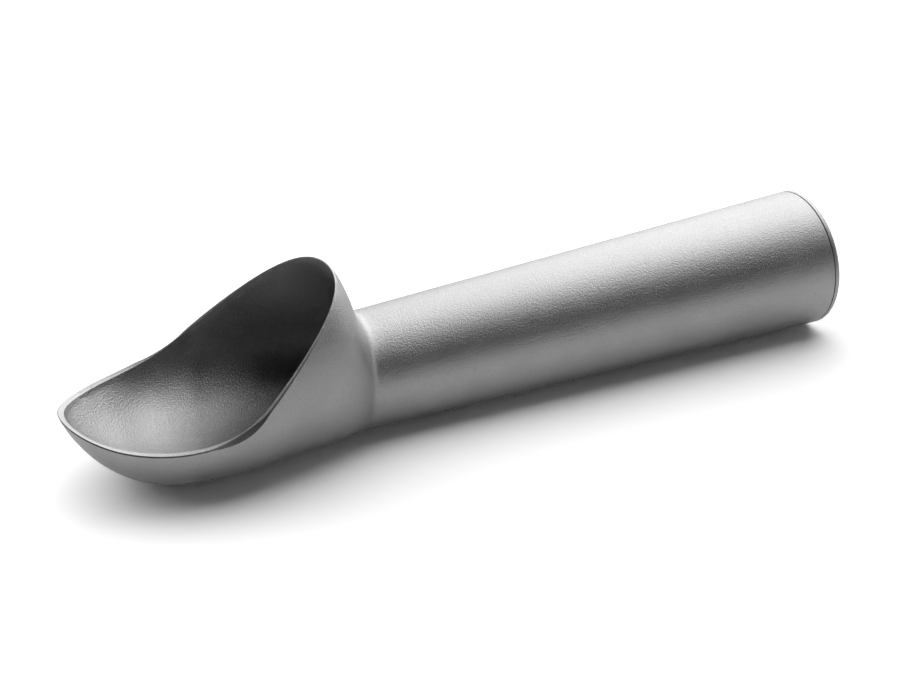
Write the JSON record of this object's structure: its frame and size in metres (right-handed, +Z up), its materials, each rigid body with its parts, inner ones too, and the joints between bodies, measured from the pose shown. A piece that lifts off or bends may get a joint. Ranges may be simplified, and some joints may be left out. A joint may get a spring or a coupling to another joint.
{
  "type": "ice cream scoop",
  "caption": "One-piece cast scoop with an open bowl that rises to a high back, a hollow tapered handle and a plugged butt that seals in a fluid for warmth.",
  "frame": {"origin": "on the floor under the middle of the scoop's length, width and all, with the scoop lying on its belly", "axes": "+X along the handle towards its butt, +Y across, +Z up"},
  "size_m": [0.1775, 0.0442, 0.0389],
  "materials": {
    "satin_aluminium": "bead-blasted satin",
    "black_rubber": "smooth moulded",
    "clear_fluid": "clear fluid"
  },
  "bodies": {
    "root": {"scoop_casting": "satin_aluminium", "end_cap": "satin_aluminium", "seal_ring": "black_rubber", "heat_fluid": "clear_fluid"}
  },
  "joints": []
}
